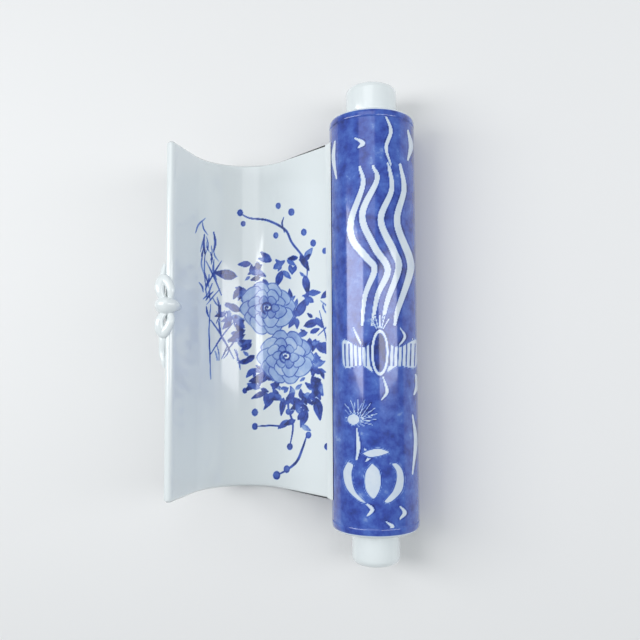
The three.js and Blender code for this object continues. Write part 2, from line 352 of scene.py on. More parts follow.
def rounded_rows(low, high, step):
    """Stations along y, with an inset that rounds both ends, in a whole number of merging cells."""
    size = 2**CELL_LEVELS
    count = int(math.ceil((high - low - 2 * EDGE_ROUND) / step / size)) * size
    turn = np.linspace(0, math.pi / 2, EDGE_ROWS + 1)
    foot = low + EDGE_ROUND - EDGE_ROUND * np.cos(turn)
    foot_inset = EDGE_ROUND - EDGE_ROUND * np.sin(turn)
    middle = np.linspace(low + EDGE_ROUND, high - EDGE_ROUND, count + 1)
    y = np.concatenate([foot[:-1], middle, (high + low) - foot[:-1][::-1]])
    inset = np.concatenate([foot_inset[:-1], np.zeros(count + 1), foot_inset[:-1][::-1]])
    return y, inset


ARC_STEPS = 120
RIM_STEPS = 14


def trough_arc(radius, start, stop):
    """Points round the trough's centre from one angle to another."""
    t = np.linspace(start, stop, ARC_STEPS)
    return np.stack([TROUGH_X + radius * np.cos(t), TROUGH_Z + radius * np.sin(t)], 1)


def sheet_outline():
    """The sheet's closed section in x and z: down the ramp's face, round to the lip and back underneath."""
    inner = trough_arc(TROUGH_RADIUS, RAMP_ANGLE, LIP_ANGLE)
    outer = trough_arc(BELLY_RADIUS, LIP_ANGLE, RAMP_ANGLE)
    ramp_top = inner[0] + RAMP_WAY * RAMP_TOP
    ramp_back = outer[-1] + RAMP_WAY * RAMP_BACK
    half = SHEET_THICKNESS / 2
    tip = inner[-1] + LIP_WAY * (LIP_LENGTH - half) + LIP_OUT * half
    turn = np.linspace(math.pi, 0, RIM_STEPS)[:, None]
    rim = tip + np.cos(turn) * LIP_OUT * half + np.sin(turn) * LIP_WAY * half
    return np.vstack([ramp_top[None], inner, rim, outer, ramp_back[None]])


def evenly(points, step):
    """A polyline resampled at even steps, as a closed loop with a whole number of merging cells."""
    loop = np.vstack([points, points[:1]])
    length = np.concatenate([[0], np.cumsum(np.linalg.norm(np.diff(loop, axis=0), axis=1))])
    size = 2**CELL_LEVELS
    count = int(math.ceil(length[-1] / step / size)) * size
    at = np.linspace(0, length[-1], count + 1)
    return np.stack([np.interp(at, length, loop[:, 0]), np.interp(at, length, loop[:, 1])], 1), at


# Painting on the sheet, in design millimetres from the trough's middle
# Tones run from 0, bare glaze, to 1, the darkest cobalt
STEM_TONE = 0.82
LEAF_TONE, LEAF_RIM, VEIN_TONE = 0.80, 0.97, 1.0
PETAL_RIM, HEART_TONE = 0.80, 0.85
BUD_TONE, BUD_RIM = 0.62, 0.92
STEM_FULLNESS = 1.25
# Stems: points, then width
BRANCHES = [
    ([(-4, 74), (1.5, 71.5), (13, 70), (24, 64), (28.5, 55.5), (37.5, 43.5), (38, 33)], 1.1),
    ([(23.5, 62.5), (22, 68), (23, 72)], 0.8),
    ([(38, -68), (35, -77), (31.5, -85), (25, -90.5), (18.5, -94)], 1.3),
    ([(4.5, -62.5), (14, -62), (24, -62.5)], 0.8),
    ([(27, -75.5), (29, -62), (26, -50), (27, -40)], 1.0),
    ([(-24, 16), (-25, 0), (-24.5, -16), (-24, -32)], 0.6),
    ([(-27.5, 51), (-28, 38), (-27, 25.5)], 0.7),
    ([(-28, 61), (-28.5, 54), (-27.5, 48)], 1.3),
    ([(-22, 62.5), (-21, 56), (-22, 50)], 1.2),
    ([(-8.5, -13), (-6, -20), (-5, -26)], 0.9),
    ([(-27, 44), (-22, 34), (-17, 22)], 0.8),
    ([(-17, 44), (-22, 36), (-27, 27)], 0.8),
    ([(-24, 6), (-17, -4), (-9, -19)], 0.8),
    ([(-9, 5), (-17, -5), (-24, -16)], 0.8),
    ([(46, 12), (50, -4), (55, -26)], 0.6),
    ([(45, -4), (51, 2), (56, 10)], 0.6),
]
# Buds: across, up, half height
BUDS = [
    (-5, 75, 2.2), (-3, 68, 1.8), (19.5, 79.5, 2.0), (28, 75.5, 2.4), (18, 60.5, 2.0), (36, 62.5, 2.2),
    (42, 55.5, 2.2), (49.5, 50.5, 2.0), (53.5, 53, 1.8), (4.5, -53.5, 2.4), (4.5, -62.5, 2.2),
    (26, -53, 2.0), (27, -75.5, 2.2), (18.5, -94, 2.8), (25, -90, 2.4), (39, -68, 2.2), (51, -75.5, 2.2),
    (-2, -39.5, 1.8),
]
# Large leaves: base, heading in degrees, length, width
LEAVES = [
    ((9, 41.5), 215, 11, 4.2), ((22, 38), 250, 12, 4.6), ((33.5, 48), 300, 12, 4.2),
    ((36.5, 35), 280, 13, 5.0), ((-5, 11.5), 150, 11, 4.6), ((-2, -3.5), 200, 12, 5.2),
    ((-7, 34), 170, 15, 6.5), ((31, 8), 60, 14, 6.0), ((36, 2), 20, 12, 5.0), ((43, -9), 330, 14, 6.0),
    ((41, -30), 300, 15, 6.5), ((44, -44), 280, 15, 6.0), ((38, -52), 250, 12, 5.0),
    ((14, -30), 195, 14, 6.0), ((6, -34), 215, 10, 4.0), ((17, -42), 235, 12, 4.0),
    ((23, -44), 262, 12, 4.0), ((29, -43), 290, 12, 4.0), ((34, -41), 315, 11, 4.0),
    ((12, -40), 205, 11, 3.6), ((2, -20), 190, 9, 3.6), ((47, 20), 40, 10, 3.6),
]
# Clumps of small leaves and tufts of grass: middle, how many, spread across, spread up
CLUMPS = [
    ((5, 38), 10, 8, 7), ((20, 40), 9, 9, 7), ((33, 40), 9, 8, 8), ((-3, 22), 9, 7, 9), ((-6, 4), 10, 7, 9),
    ((32, 14), 8, 7, 10), ((38, 0), 10, 7, 11), ((43, -14), 10, 6, 9), ((42, -28), 11, 7, 10),
    ((44, -40), 9, 6, 8), ((36, -46), 10, 9, 6), ((24, -42), 12, 9, 5), ((12, -36), 10, 8, 6),
    ((6, -28), 8, 6, 7), ((2, -12), 7, 5, 7), ((-12, 12), 6, 5, 8), ((40, 20), 6, 6, 7),
    ((30, -58), 6, 6, 5),
]
GRASSES = [
    ((-27, 50), 9, 6, 17), ((-25, 36), 9, 6, 15), ((-20, 18), 8, 7, 14), ((-14, -6), 10, 8, 15),
    ((50, 2), 8, 5, 14),
]
GRASS_HEADINGS = [62, 90, 118, 100]
CLUMP_FILL = 0.8  # clump leaves start within this share of the spread
SMALL_LEAF_LENGTHS = (4.0, 9.5)
SMALL_LEAF_TONES = (0.42, 0.98)
SMALL_LEAF_SHAPE = 0.46  # width as a share of the length
LEAF_SEED = 7
# Blossoms: middle, half width, half height, seed
PEONIES = [((12.5, 14), 16.5, 16.0, 5), ((24.5, -17.5), 17.0, 16.5, 11)]
# Rings of petals from the outside in: reach, how many, tone
PETAL_RINGS = ((1.0, 10, 0.26), (0.74, 8, 0.24), (0.46, 6, 0.34))
HEART_SHARE = 0.26
HEART_TURNS = 1.7


def oval(a, b, half_a, half_b, count=14):
    """Points round an oval."""
    t = np.linspace(0, 2 * math.pi, count, endpoint=False)
    return np.stack([a + half_a * np.cos(t), b + half_b * np.sin(t)], 1)


def leaf_outline(base, heading, length, width):
    """A pointed leaf from its base along a heading in degrees."""
    turn = math.radians(heading)
    way = np.array([math.cos(turn), math.sin(turn)])
    side = np.array([-way[1], way[0]])
    along = np.array([0, 0.18, 0.45, 0.75, 1.0, 0.75, 0.45, 0.18]) * length
    across = np.array([0, 0.36, 0.5, 0.3, 0, -0.3, -0.5, -0.36]) * width
    return np.array(base) + along[:, None] * way + across[:, None] * side


def paint_peony(canvas, centre, radius_a, radius_b, seed):
    """A full blossom: a pale scalloped wash, outlined petals in three rings and a curled heart."""
    rng = np.random.default_rng(seed)
    centre = np.array(centre)
    spread = np.array([radius_a, radius_b])
    for ring, (reach, petals, tone) in enumerate(PETAL_RINGS):
        for k in range(petals):
            turn = 2 * math.pi * (k + 0.5 * ring) / petals + rng.uniform(-0.12, 0.12)
            middle = centre + spread * (reach * 0.66) * np.array([math.cos(turn), math.sin(turn)])
            t = np.linspace(0, 2 * math.pi, 10, endpoint=False)
            size = reach * 0.40 * rng.uniform(0.9, 1.15)
            shape = 1 + 0.10 * np.cos(3 * t + turn)
            lobe = middle + np.stack([np.cos(t) * shape, np.sin(t) * shape], 1) * spread * size
            canvas.fill(lobe, tone + rng.uniform(-0.05, 0.05), rim=PETAL_RIM, rim_width=0.8)
    swirl = np.linspace(0, HEART_TURNS * 2 * math.pi, 18)
    opening = (swirl / swirl[-1] * HEART_SHARE)[:, None]
    curl = centre + np.stack([np.cos(swirl), np.sin(swirl)], 1) * opening * spread
    canvas.stroke(curl, 1.0, HEART_TONE, taper=False)


def paint_large_leaves(canvas):
    """Each large leaf with its darker rim and a middle vein."""
    for base, heading, length, width in LEAVES:
        canvas.fill(leaf_outline(base, heading, length, width), LEAF_TONE, rim=LEAF_RIM, rim_width=0.8)
        turn = math.radians(heading)
        vein = length * 0.9
        tip = (base[0] + vein * math.cos(turn), base[1] + vein * math.sin(turn))
        canvas.stroke([base, tip], 0.7, VEIN_TONE)


def paint_clumps(canvas, rng):
    """Crowded small leaves in many tones."""
    for middle, count, spread_a, spread_b in CLUMPS:
        for _ in range(count):
            base = np.array(middle) + rng.uniform(-CLUMP_FILL, CLUMP_FILL, 2) * (spread_a, spread_b)
            heading = rng.uniform(0, 360)
            length = rng.uniform(*SMALL_LEAF_LENGTHS)
            tone = rng.uniform(*SMALL_LEAF_TONES)
            leaf = leaf_outline(base, heading, length, length * SMALL_LEAF_SHAPE)
            canvas.fill(leaf, tone, rim=min(tone + 0.2, 1), rim_width=0.6)


def paint_grasses(canvas, rng):
    """Tufts of thin crossing blades."""
    for middle, count, spread_a, spread_b in GRASSES:
        for _ in range(count):
            base = np.array(middle) + rng.uniform(-1, 1, 2) * (spread_a, spread_b)
            heading = math.radians(rng.choice(GRASS_HEADINGS) + rng.uniform(-14, 14))
            way = np.array([math.cos(heading), math.sin(heading)]) * rng.uniform(6, 15)
            bend = np.array([-way[1], way[0]]) * rng.uniform(-0.12, 0.12)
            width = rng.uniform(0.5, 1.2)
            canvas.stroke([base - way / 2, base + bend, base + way / 2], width, rng.uniform(0.5, 0.9))


def paint_sheet(canvas):
    """The peony spray, with blossoms over leaves over stems."""
    for points, width in BRANCHES:
        canvas.stroke(points, width * STEM_FULLNESS, STEM_TONE)
    paint_large_leaves(canvas)
    rng = np.random.default_rng(LEAF_SEED)
    paint_clumps(canvas, rng)
    paint_grasses(canvas, rng)
    for centre, radius_a, radius_b, seed in PEONIES:
        paint_peony(canvas, centre, radius_a, radius_b, seed)
    for a, b, size in BUDS:
        canvas.fill(oval(a, b, size * 0.85, size, 8), BUD_TONE, rim=BUD_RIM, rim_width=0.8)


# Reserves on the roll, in the same design millimetres: white shapes with dark outlines on the blue ground
GROUND = 0.66
OUTLINE_TONE = 0.95
RESERVE_TONE = 0.07
OUTLINE_WIDTH = 0.75
RIBBON_WIDTH = 4.8
RIBBONS = [
    [(72, 104.5), (74, 93), (66.5, 70.5), (67.5, 57.5), (76.5, 46), (81.5, 38.5), (75.5, 22), (73.5, 3)],
    [(80.5, 105), (83, 96), (73.5, 73.5), (81.5, 53), (90, 38.5), (83.5, 22), (80, 3)],
    [(90.5, 107), (92.5, 90), (85.5, 70.5), (93.5, 51), (97, 39.5), (90, 19), (87, 6)],
    [(98, 106), (100.5, 90), (96, 69), (104, 46), (104, 35), (96.5, 12.5), (94.5, 3)],
]
# Cloud scrolls, tendrils and commas: points, then width
SCROLLS = [
    ([(88, 139), (92, 128), (89, 117), (92, 106)], 2.6), ([(103, 128), (105, 118), (103, 109)], 3.0),
    ([(56, 121), (55, 110), (57, 97)], 2.6), ([(69, 123), (74, 120), (71, 117)], 3.0),
    ([(108, -29), (109, -36), (107, -42)], 2.6), ([(106, -55), (108, -72), (106, -93)], 2.4),
    ([(87, -30.5), (89.5, -40), (86, -45.5)], 2.2), ([(70, -64), (71, -75), (70, -84)], 2.8),
    ([(75, -77), (79, -81), (76, -85)], 2.6),
    ([(76, -112), (80, -116), (77, -120)], 2.8), ([(98, -114), (101, -118), (98, -122)], 2.8),
    ([(89, -124), (93, -127), (90, -130)], 2.6),
    ([(62, -8), (64, -13), (68, -17)], 1.9), ([(98, 1), (101, -5), (96, -12)], 1.9),
    ([(106, -6), (107, -12), (103, -18)], 1.9), ([(68, 1), (71, -6), (74, -12)], 1.9),
]
MIRROR_A, MIRROR_B = 85.0, -15.0
MIRROR_RINGS = ((6.6, 15.8, 0.95), (5.8, 15.0, 0.06), (4.0, 12.6, 0.86))  # half width, half height, tone
WING = [(4, 8), (12, 4), (23, 9), (25, 2), (23, -10), (12, -9), (4, -12)]  # from the mirror's middle
WING_RIBS = 7
RIB_SPACING = 2.7
CROWN_PETALS = 5
FAN_A, FAN_B = 71.0, -55.0
FAN_RAYS = 9
FLOWER_RAYS = 14
PETAL_TURN = 137.5  # degrees from one flower ray to the next
GOURD = [
    [(64, -84), (60.5, -92), (63, -103), (71, -111), (77, -112), (70, -104), (67.5, -94), (68.5, -87)],
    [(80, -85), (75, -92), (75, -103), (81, -110), (86, -102), (85.5, -91)],
    [(91, -86), (95, -93), (93, -103), (87, -111), (92, -112), (100, -104), (101, -93), (97, -86)],
    [(72, -80), (78, -83), (86, -82), (92, -79), (85, -76), (78, -77)],
]


def reserve(canvas, points, width):
    """A white stroke left in the ground, with a dark outline round it."""
    canvas.stroke(points, width + 2 * OUTLINE_WIDTH, OUTLINE_TONE, cover=True)
    canvas.stroke(points, width, RESERVE_TONE, cover=True)


def paint_mirror(canvas):
    """The oval mirror between two ribbed wings, under a crown of petals."""
    for side in (-1, 1):
        wing = np.array(WING, float) * (side, 1)
        canvas.fill(wing + (MIRROR_A, MIRROR_B), 0.10, rim=OUTLINE_TONE)
        for k in range(WING_RIBS):
            foot = (MIRROR_A + side * (6 + RIB_SPACING * k), MIRROR_B - 8.5)
            top = (MIRROR_A + side * (6.5 + RIB_SPACING * k), MIRROR_B + 5.5)
            canvas.stroke([foot, top], 0.7, 0.9, cover=True, taper=False)
    for k in range(CROWN_PETALS):
        turn = math.radians(50 + 20 * k)
        top = (MIRROR_A + 9 * math.cos(turn), MIRROR_B + 14 + 10 * math.sin(turn))
        reserve(canvas, [(MIRROR_A, MIRROR_B + 12), top], 2.2)
    for half_a, half_b, tone in MIRROR_RINGS:
        canvas.fill(oval(MIRROR_A, MIRROR_B, half_a, half_b), tone)


def paint_flower_fan(canvas):
    """The spiky flower head below the mirror, and the gourd emblem under it."""
    for k in range(FAN_RAYS):
        turn = math.radians(-40 + 22 * k)
        tip = (FAN_A + 12 * math.cos(turn), FAN_B + 10 * math.sin(turn))
        reserve(canvas, [(FAN_A, FAN_B - 4), tip], 1.4)
    for outline in GOURD:
        canvas.fill(np.array(outline, float), 0.08, rim=LEAF_RIM, rim_width=1.0)
    heart_a, heart_b = FAN_A - 3, FAN_B - 3
    for k in range(FLOWER_RAYS):
        turn = math.radians(PETAL_TURN * k)
        tip = (FAN_A + 9 * math.cos(turn), FAN_B + 8 * math.sin(turn))
        canvas.stroke([(heart_a, heart_b), tip], 1.0, 0.12, cover=True)
    canvas.fill(oval(heart_a, heart_b, 4.4, 4.0), 0.10, rim=0.9)


def paint_roll(canvas):
    """Traditional emblems and fluttering ribbons reserved in white on the blue ground."""
    for points in RIBBONS:
        reserve(canvas, points, RIBBON_WIDTH)
    for points, width in SCROLLS:
        reserve(canvas, points, width)
    paint_mirror(canvas)
    paint_flower_fan(canvas)


FINE_STEP = 0.5  # between the finest grid lines, across and up
BLUE_ENDS_AT = 117.4  # the ground stops short of the roll's ends
FACES_UP_ABOVE = -6  # height on the roll above which it is painted
OUT_OF_REACH = 1e6


def build_sheet():
    """The porcelain sheet, a rounded slab with the spray painted on its hollow face."""
    outline, at = evenly(sheet_outline(), FINE_STEP)
    y, inset = rounded_rows(SHEET_LOW, SHEET_HIGH, FINE_STEP)
    tangent = np.gradient(outline, axis=0)
    tangent[0] = tangent[-1] = outline[1] - outline[-2]
    tangent /= np.linalg.norm(tangent, axis=1, keepdims=True)
    inward = np.stack([-tangent[:, 1], tangent[:, 0]], 1)
    area = 0.5 * np.sum(outline[:-1, 0] * outline[1:, 1] - outline[1:, 0] * outline[:-1, 1])
    if area < 0:
        inward = -inward
    x = outline[None, :, 0] + inset[:, None] * inward[None, :, 0]
    z = outline[None, :, 1] + inset[:, None] * inward[None, :, 1]
    grid = np.stack([x, np.repeat(y[:, None], x.shape[1], 1), z], 2)
    canvas = Canvas(*seen(grid))
    paint_sheet(canvas)
    inner_length = LIP_LENGTH + TROUGH_RADIUS * (RAMP_ANGLE - LIP_ANGLE) + RAMP_TOP
    hidden = (at > inner_length)[None, :]
    canvas.tone = np.where(hidden, 0.0, canvas.tone)
    piece = sleeve("painted_sheet", grid, canvas.tone)
    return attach(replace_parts(piece, "scroll_sheet"), BODY)


def build_roll():
    """The closed roll's tube in its blue ground, with the reserved emblems on the side that faces up."""
    size = 2**CELL_LEVELS
    columns = int(math.ceil(2 * math.pi * ROLL_RADIUS / FINE_STEP / size)) * size
    rows = int(math.ceil(2 * TUBE_HALF / FINE_STEP / size)) * size
    turn = np.linspace(-1.5 * math.pi, 0.5 * math.pi, columns + 1)[::-1]
    y = np.linspace(-TUBE_HALF, TUBE_HALF, rows + 1)
    x = np.repeat(ROLL_RADIUS * np.cos(turn)[None, :], rows + 1, 0)
    z = np.repeat(ROLL_RADIUS * np.sin(turn)[None, :], rows + 1, 0)
    grid = np.stack([x, np.repeat(y[:, None], columns + 1, 1), z], 2)
    a, b = seen(grid)
    canvas = Canvas(np.where(z > FACES_UP_ABOVE, a, OUT_OF_REACH), b, GROUND)
    paint_roll(canvas)
    piece = sleeve("painted_roll", grid, canvas.tone)
    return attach(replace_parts(piece, "roll_tube"), BODY)


TURN_STEPS = 160


def lathed(name, profile, tones):
    """A piece turned about the roll's axis from a profile of radius and y, with flat caps at both ends."""
    line = np.array(profile, float)
    turn = np.linspace(0, 2 * math.pi, TURN_STEPS, endpoint=False)
    points, faces, tone = [], [], []
    for (r, y), t in zip(line, tones):
        points.append(np.stack([r * np.cos(turn), np.full(TURN_STEPS, y), r * np.sin(turn)], 1))
        tone.append(np.full(TURN_STEPS, t))
    for i in range(len(line) - 1):
        low, high = i * TURN_STEPS, (i + 1) * TURN_STEPS
        for k in range(TURN_STEPS):
            after = (k + 1) % TURN_STEPS
            faces.append((high + k, high + after, low + after, low + k))
    faces.append(tuple(range(TURN_STEPS)))
    faces.append(tuple(range((len(line) - 1) * TURN_STEPS, len(line) * TURN_STEPS))[::-1])
    if line[-1, 1] < line[0, 1]:
        faces = [f[::-1] for f in faces]
    return mesh_object(name, np.vstack(points), faces, np.concatenate(tone))


SHOULDER_STEPS = 12
END_SEAT = (23.0, 112.6)  # radius and y where the end disc meets the tube's wall
END_FACE_RADII = (18.0, 12.0)
RIM_TONE, FACE_TONE = 0.05, 0.02
# Each end of the roll: side, disc, knob, then the knob's radius, neck radius and reach
ENDS = [
    (1, "roll_end_upper", "knob_upper", (15.2, 13.9, 20.5)),
    (-1, "roll_end_lower", "knob_lower", (13.8, 12.6, 20.0)),
]
KNOB_GAP = 0.2
KNOB_RIM = 4.2
KNOB_DOME = 0.9
KNOB_RIM_STEPS = 10
DOME_SHARES = (0.75, 0.5, 0.25, 0.03)


def end_profile(side):
    """The end disc's profile and tones: blue side, white shoulder and white face."""
    shoulder_y = ROLL_LENGTH / 2 - ROLL_SHOULDER
    line = [END_SEAT, (ROLL_RADIUS, TUBE_HALF), (ROLL_RADIUS, TUBE_HALF + 1.5)]
    tones = [GROUND] * len(line)
    for t in np.linspace(0, math.pi / 2, SHOULDER_STEPS):
        y = shoulder_y + ROLL_SHOULDER * math.sin(t)
        line.append((ROLL_RADIUS - ROLL_SHOULDER + ROLL_SHOULDER * math.cos(t), y))
        tones.append(GROUND if y < BLUE_ENDS_AT else RIM_TONE)
    line += [(radius, ROLL_LENGTH / 2) for radius in END_FACE_RADII]
    tones += [FACE_TONE] * len(END_FACE_RADII)
    return [(r, side * y) for r, y in line], tones


def knob_profile(side, radius, neck, reach):
    """A low turned button with nearly straight sides, a soft rim and a slightly domed top."""
    low, top = ROLL_LENGTH / 2 + KNOB_GAP, ROLL_LENGTH / 2 + reach
    rim_y = top - KNOB_DOME - KNOB_RIM
    flat = radius - KNOB_RIM
    line = [(neck, low), (neck + 0.2, low + 2.0), (radius - 0.2, low + 6.0), (radius, rim_y)]
    for t in np.linspace(0, math.pi / 2, KNOB_RIM_STEPS)[1:]:
        line.append((flat + KNOB_RIM * math.cos(t), rim_y + KNOB_RIM * math.sin(t)))
    for share in DOME_SHARES:
        line.append((flat * share, top - KNOB_DOME * share**2))
    return [(r, side * y) for r, y in line]


def build_ends():
    """The roll's two end discs and their knobs."""
    for side, end, knob, knob_size in ENDS:
        profile, tones = end_profile(side)
        disc = lathed("glazed_" + end, profile, tones)
        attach(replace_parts(disc, end), BODY)
        line = knob_profile(side, *knob_size)
        button = lathed("glazed_" + knob, line, [0.0] * len(line))
        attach(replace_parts(button, knob), BODY)


TIE_Y = 8.5  # the knot's place along the roll, from its middle
# Each station: outward over the rim, up from the rim's middle, along the roll from the knot, half width
TIE_RIBBONS = {
    "tie_knot": [
        (-4.6, -3.0, -0.5, 1.6), (-3.6, 1.6, 0, 3.6), (0.5, 4.2, 0.3, 5.0), (4.6, 2.6, 0, 4.6),
        (6.0, -3.0, -0.4, 2.6),
    ],
    "tie_loop_upper": [
        (0.5, 3.0, 2.5, 1.5), (3.6, 4.6, 7, 2.4), (4.4, 4.4, 12, 3.0), (3.0, 3.2, 16, 2.8),
        (0.0, 3.4, 14, 2.6), (-2.2, 3.0, 9, 2.4), (-1.5, 2.6, 4, 1.6),
    ],
    "tie_loop_lower": [
        (0.5, 3.0, -2.5, 1.5), (3.8, 4.4, -7, 2.4), (4.6, 4.0, -12, 3.0), (3.0, 3.0, -15.5, 2.8),
        (0.0, 3.4, -13, 2.6), (-2.2, 3.0, -8, 2.4), (-1.5, 2.6, -4, 1.6),
    ],
    "tie_tail_upper": [
        (4.5, 1.0, 3, 1.8), (5.6, 0.6, 10, 2.2), (4.4, 1.6, 16, 1.9), (4.2, 0.8, 21, 1.6),
        (3.4, 0.8, 25, 0.9),
    ],
    "tie_tail_lower": [
        (4.5, 1.0, -3, 1.8), (5.8, 0.4, -10, 2.2), (4.2, 1.2, -18, 2.2), (4.8, 0.6, -26, 1.9),
        (3.6, 1.0, -31, 1.5), (3.2, 0.8, -35, 0.7),
    ],
}
RIBBON_SPAN_STEPS = 12
RIBBON_ROUND_STEPS = 28


def ribbon_tree():
    """Nodes that sweep an oval along an edge path whose girth attribute sets its half width."""
    tree = bpy.data.node_groups.new("ribbon_sweep", "GeometryNodeTree")
    tree.interface.new_socket("Path", in_out="INPUT", socket_type="NodeSocketGeometry")
    tree.interface.new_socket("Flatness", in_out="INPUT", socket_type="NodeSocketFloat")
    tree.interface.new_socket("Glaze", in_out="INPUT", socket_type="NodeSocketMaterial")
    tree.interface.new_socket("Ribbon", in_out="OUTPUT", socket_type="NodeSocketGeometry")
    nodes, links = tree.nodes, tree.links
    given = nodes.new("NodeGroupInput")
    result = nodes.new("NodeGroupOutput")
    path = nodes.new("GeometryNodeMeshToCurve")
    girth = nodes.new("GeometryNodeInputNamedAttribute")
    girth.data_type = "FLOAT"
    girth.inputs["Name"].default_value = "girth"
    oval_curve = nodes.new("GeometryNodeCurvePrimitiveCircle")
    oval_curve.inputs["Resolution"].default_value = RIBBON_ROUND_STEPS
    oval_curve.inputs["Radius"].default_value = 1.0
    scale = nodes.new("ShaderNodeCombineXYZ")
    scale.inputs["X"].default_value = 1.0
    scale.inputs["Z"].default_value = 1.0
    squash = nodes.new("GeometryNodeTransform")
    sweep = nodes.new("GeometryNodeCurveToMesh")
    sweep.inputs["Fill Caps"].default_value = True
    smooth = nodes.new("GeometryNodeSetShadeSmooth")
    real = nodes.new("GeometryNodeRealizeInstances")
    painted = nodes.new("GeometryNodeSetMaterial")
    links.new(given.outputs["Path"], path.inputs["Mesh"])
    links.new(girth.outputs["Attribute"], sweep.inputs["Scale"])
    links.new(given.outputs["Flatness"], scale.inputs["Y"])
    links.new(oval_curve.outputs["Curve"], squash.inputs["Geometry"])
    links.new(scale.outputs["Vector"], squash.inputs["Scale"])
    links.new(path.outputs["Curve"], sweep.inputs["Curve"])
    links.new(squash.outputs["Geometry"], sweep.inputs["Profile Curve"])
    links.new(sweep.outputs["Mesh"], smooth.inputs["Geometry"])
    links.new(smooth.outputs["Geometry"], real.inputs["Geometry"])
    links.new(real.outputs["Geometry"], painted.inputs["Geometry"])
    links.new(given.outputs["Glaze"], painted.inputs["Material"])
    links.new(painted.outputs["Geometry"], result.inputs["Ribbon"])
    return tree


def build_tie(flatness):
    """The moulded ribbon tie that is folded over the sheet's lip."""
    tree = ribbon_tree()
    sockets = {item.name: item.identifier for item in tree.interface.items_tree if item.in_out == "INPUT"}
    half = SHEET_THICKNESS / 2
    rim = np.array([TROUGH_X, TROUGH_Z]) + LIP_OUT * (TROUGH_RADIUS + half) + LIP_WAY * (LIP_LENGTH - half)
    for node, stations in TIE_RIBBONS.items():
        line = smooth_curve(stations, RIBBON_SPAN_STEPS)
        flat = rim + line[:, :1] * LIP_OUT + line[:, 1:2] * LIP_WAY
        points = np.stack([flat[:, 0], line[:, 2] + TIE_Y, flat[:, 1]], 1)
        mesh = bpy.data.meshes.new("path_" + node)
        links = [(k, k + 1) for k in range(len(points) - 1)]
        mesh.from_pydata([tuple(p) for p in to_row(points)], links, [])
        girth = mesh.attributes.new("girth", "FLOAT", "POINT")
        girth.data.foreach_set("value", (line[:, 3] * MM).astype(np.float32))
        piece = bpy.data.objects.new("glazed_" + node, mesh)
        bpy.context.scene.collection.objects.link(piece)
        modifier = piece.modifiers.new("sweep", "NODES")
        modifier.node_group = tree
        modifier[sockets["Flatness"]] = flatness
        bpy.context.view_layer.update()
        ready = piece.evaluated_get(bpy.context.evaluated_depsgraph_get())
        swept = bpy.data.meshes.new_from_object(ready)
        piece.modifiers.clear()
        piece.data = swept
        if not len(swept.polygons):
            raise RuntimeError("the ribbon sweep came out empty: " + node)
        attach(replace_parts(piece, node), BODY)


# Colours by cobalt strength between the bare glaze and the darkest cobalt
COBALT_STOPS = ((0.22, (0.36, 0.50, 0.76)), (0.5, (0.065, 0.145, 0.52)), (0.75, (0.028, 0.065, 0.38)))
MOTTLE_SCALE = 130.0
MOTTLE_RANGE = (0.28, 0.72)
MOTTLE_SHIFT = 0.42  # how far the mottling moves the strength, as a share of it
WAVE_SCALE = 42.0
WAVE_HEIGHT = 0.0012
COAT_WEIGHT = 0.6
COAT_ROUGHNESS = 0.05


def noise(nodes, links, place, scale, detail):
    """A noise texture on object coordinates."""
    texture = nodes.new("ShaderNodeTexNoise")
    texture.inputs["Scale"].default_value = scale
    texture.inputs["Detail"].default_value = detail
    links.new(place.outputs["Object"], texture.inputs["Vector"])
    return texture


def math_node(nodes, links, operation, first, second):
    """A math node fed by two sockets."""
    node = nodes.new("ShaderNodeMath")
    node.operation = operation
    links.new(first, node.inputs[0])
    links.new(second, node.inputs[1])
    return node.outputs[0]


def glaze_material(glaze_white, cobalt_deep, roughness):
    """Clear bluish glaze over white clay, with cobalt where the attribute says so, mottled as it pools."""
    material = bpy.data.materials.new("porcelain_glaze")
    material.use_nodes = True
    nodes, links = material.node_tree.nodes, material.node_tree.links
    shader = nodes["Principled BSDF"]
    strength = nodes.new("ShaderNodeAttribute")
    strength.attribute_name = "cobalt"
    place = nodes.new("ShaderNodeTexCoord")
    mottle = noise(nodes, links, place, MOTTLE_SCALE, 5.0)
    mottle.inputs["Roughness"].default_value = 0.62
    spread = nodes.new("ShaderNodeMapRange")
    spread.inputs["From Min"].default_value = MOTTLE_RANGE[0]
    spread.inputs["From Max"].default_value = MOTTLE_RANGE[1]
    spread.inputs["To Min"].default_value = -MOTTLE_SHIFT
    spread.inputs["To Max"].default_value = MOTTLE_SHIFT
    links.new(mottle.outputs["Fac"], spread.inputs["Value"])
    shift = math_node(nodes, links, "MULTIPLY", spread.outputs["Result"], strength.outputs["Fac"])
    total = math_node(nodes, links, "ADD", shift, strength.outputs["Fac"])
    ramp = nodes.new("ShaderNodeValToRGB")
    ramp.color_ramp.elements[0].color = (*glaze_white, 1)
    ramp.color_ramp.elements[1].color = (*cobalt_deep, 1)
    for at, colour in COBALT_STOPS:
        ramp.color_ramp.elements.new(at).color = (*colour, 1)
    links.new(total, ramp.inputs["Fac"])
    links.new(ramp.outputs["Color"], shader.inputs["Base Color"])
    shader.inputs["Roughness"].default_value = roughness
    shader.inputs["Coat Weight"].default_value = COAT_WEIGHT
    shader.inputs["Coat Roughness"].default_value = COAT_ROUGHNESS
    wave = noise(nodes, links, place, WAVE_SCALE, 2.0)
    bump = nodes.new("ShaderNodeBump")
    bump.inputs["Strength"].default_value = 0.10
    bump.inputs["Distance"].default_value = WAVE_HEIGHT
    links.new(wave.outputs["Fac"], bump.inputs["Height"])
    links.new(bump.outputs["Normal"], shader.inputs["Normal"])
    return material


FLOOR_HALF = 3.0
SKY_COLOUR = (0.86, 0.92, 0.96, 1)
SKY_STRENGTH = 0.42
